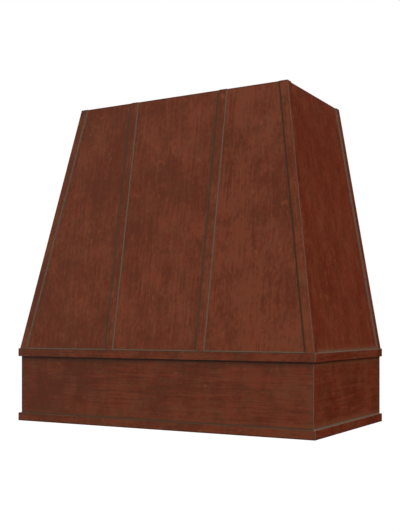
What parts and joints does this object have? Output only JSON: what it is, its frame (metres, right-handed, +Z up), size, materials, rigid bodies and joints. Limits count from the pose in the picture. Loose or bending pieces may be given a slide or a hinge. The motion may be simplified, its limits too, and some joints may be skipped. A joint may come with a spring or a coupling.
{
  "type": "range hood cover",
  "caption": "Tapered wooden range hood cover: boxed apron, block trim and flat straps, open below, above and behind, hung on a bevelled wall cleat.",
  "frame": {"origin": "level with the rim, under the middle of the whole outline", "axes": "+X to the right as seen from in front, +Y to the wall, +Z up"},
  "size_m": [0.9284, 0.502, 0.9144],
  "materials": {
    "stained_wood": "cherry stain with a brown glaze left in the corners and along the arrises, satin clear coat",
    "plain_wood": "bare, planed",
    "screw_steel": "zinc plated"
  },
  "bodies": {
    "wall_cleat": {"wall_cleat": "plain_wood"},
    "cover": {"apron_front": "stained_wood", "apron_left": "stained_wood", "apron_right": "stained_wood", "lower_trim_front": "stained_wood", "lower_trim_left": "stained_wood", "lower_trim_right": "stained_wood", "upper_trim_front": "stained_wood", "upper_trim_left": "stained_wood", "upper_trim_right": "stained_wood", "panel_front": "stained_wood", "panel_left": "stained_wood", "panel_right": "stained_wood", "strap_front_corner_left": "stained_wood", "strap_front_corner_right": "stained_wood", "strap_front_mid_left": "stained_wood", "strap_front_mid_right": "stained_wood", "strap_left_front": "stained_wood", "strap_left_rear": "stained_wood", "strap_right_front": "stained_wood", "strap_right_rear": "stained_wood", "liner_rail_front": "plain_wood", "liner_rail_left": "plain_wood", "liner_rail_right": "plain_wood", "liner_rail_back": "plain_wood", "waist_rail_front": "plain_wood", "waist_rail_left": "plain_wood", "waist_rail_right": "plain_wood", "top_rail_front": "plain_wood", "top_rail_left": "plain_wood", "top_rail_right": "plain_wood", "corner_block_left": "plain_wood", "corner_block_right": "plain_wood", "hip_batten_left": "plain_wood", "hip_batten_right": "plain_wood", "back_stile_left": "plain_wood", "back_stile_right": "plain_wood", "back_rail": "plain_wood", "hood_cleat": "plain_wood", "liner_rail_screws": "screw_steel", "waist_rail_screws": "screw_steel", "top_rail_screws": "screw_steel", "stile_screws": "screw_steel"}
  },
  "joints": [
    {"name": "cover_lift", "type": "slide", "parent": "wall_cleat", "child": "cover", "axis": [0, 0, 1], "range_m": [0, 0.025]}
  ]
}
